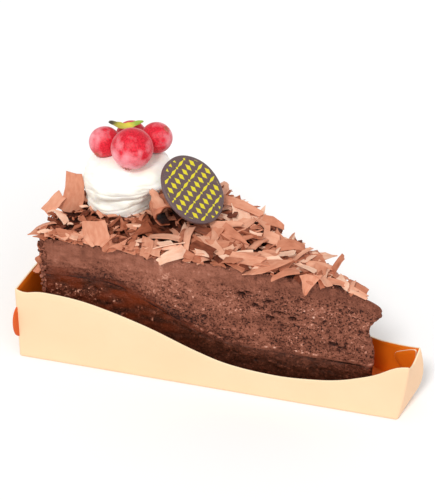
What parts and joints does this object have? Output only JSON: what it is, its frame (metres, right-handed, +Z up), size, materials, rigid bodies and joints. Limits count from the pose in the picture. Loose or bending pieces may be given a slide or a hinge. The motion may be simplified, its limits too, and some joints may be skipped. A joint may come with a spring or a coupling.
{
  "type": "slice of chocolate cake",
  "caption": "Wedge of baked chocolate cake in a folded card tray, topped with shaved flakes, a piped cream rosette, frosted berries, a disc and a chocolate curl.",
  "frame": {"origin": "middle of the tray's footprint, on the surface it stands on", "axes": "+X along the slice towards its tip, +Z up"},
  "size_m": [0.151, 0.1106, 0.0894],
  "materials": {
    "card": "matt, orange on the inside",
    "sponge": "moist, dark and dense crumb",
    "mousse": "cut face with fine pores",
    "flakes": "shaved milk chocolate",
    "cream": "whipped, soft sheen",
    "berry": "skin with a frosted bloom",
    "leaf": "thin leaf, dark at its tip",
    "disc": "dark chocolate with a gold transfer pattern"
  },
  "bodies": {
    "root": {"paper_tray": "card", "sponge_base": "sponge", "chocolate_mousse": "mousse", "chocolate_flakes": "flakes", "cream_rosette": "cream", "berry_front": "berry", "berry_left": "berry", "berry_right": "berry", "berry_back": "berry", "leaf_sprig": "leaf", "chocolate_disc": "disc", "chocolate_curl": "flakes"}
  },
  "joints": []
}
